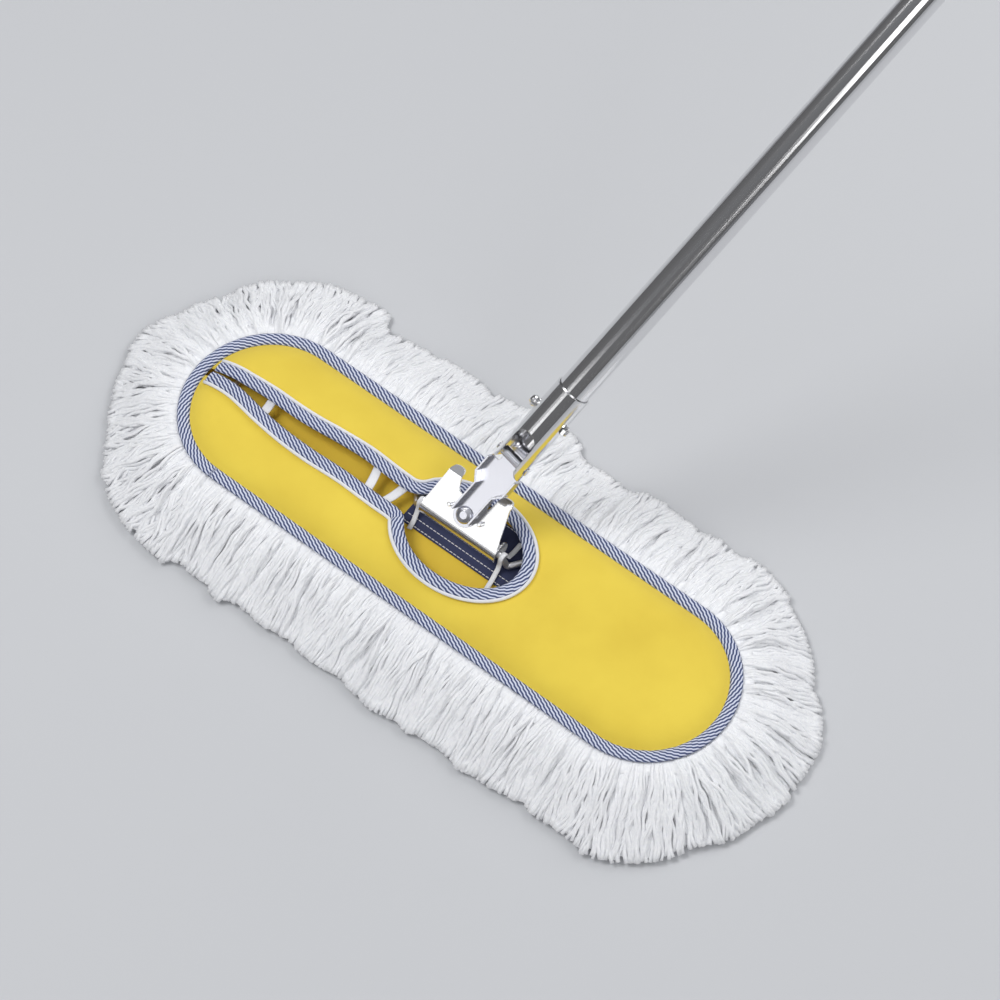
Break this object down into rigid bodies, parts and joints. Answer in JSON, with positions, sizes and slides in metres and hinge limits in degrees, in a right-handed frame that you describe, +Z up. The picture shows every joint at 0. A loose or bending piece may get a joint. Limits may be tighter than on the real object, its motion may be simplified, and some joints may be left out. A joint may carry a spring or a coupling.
{
  "type": "flat mop",
  "caption": "Flat dust mop with an oval fringed cotton head, a keyhole opening over a tilting steel clamp plate, a swivel arm and a long tube handle.",
  "frame": {"origin": "the outer end of the handle's cap, on the handle's axis, where a hand holds the mop", "axes": "+X along the mop head's length, +Y across the head towards the side the handle leans to, +Z up from the floor"},
  "size_m": [0.6144, 1.1024, 0.9231],
  "materials": {
    "yarn": "white cotton yarn",
    "yellow_cloth": "yellow woven cotton",
    "striped_tape": "blue and white diagonal stripes",
    "navy_strap": "woven strap",
    "white_tape": "white woven tape",
    "frame_wire": "zinc plated",
    "bright_steel": "bright zinc plated sheet",
    "polished_steel": "polished",
    "grey_plastic": "matt"
  },
  "bodies": {
    "handle": {"handle_tube": "polished_steel", "handle_socket": "polished_steel", "handle_end_cap": "grey_plastic", "socket_bolt": "polished_steel", "socket_nut": "polished_steel", "clevis_pin": "polished_steel"},
    "arm": {"swivel_arm": "bright_steel", "swivel_rivet": "bright_steel"},
    "plate": {"clamp_plate": "bright_steel", "stop_stud_left": "bright_steel", "stop_stud_right": "bright_steel"},
    "head": {"frame_loop": "frame_wire", "spine_wire": "frame_wire", "cover_top": "yellow_cloth", "cover_base": "yellow_cloth", "navy_strap": "navy_strap", "edge_binding": "striped_tape", "keyhole_binding": "striped_tape", "keyhole_piping": "white_tape", "yarn_pad": "yarn", "fringe": "yarn", "tie_slot_1": "white_tape", "tie_slot_2": "white_tape", "tie_slot_3": "white_tape", "tie_rod_left": "white_tape", "tie_rod_right": "white_tape"}
  },
  "joints": [
    {"name": "handle_fold", "type": "hinge", "parent": "handle", "child": "arm", "pos_m": [-0.27657, -0.91487, -0.81798], "axis": [0.9755, -0.1639, -0.1465], "range_deg": [-80, 0]},
    {"name": "arm_swivel", "type": "hinge", "parent": "arm", "child": "plate", "pos_m": [-0.28976, -0.95497, -0.86095], "axis": [0, -0.6665, 0.7455], "range_deg": [-44.5, 19.1]},
    {"name": "plate_tilt", "type": "hinge", "parent": "plate", "child": "head", "pos_m": [-0.28976, -0.95974, -0.87662], "axis": [1, 0, 0], "range_deg": [-50, 38]}
  ]
}
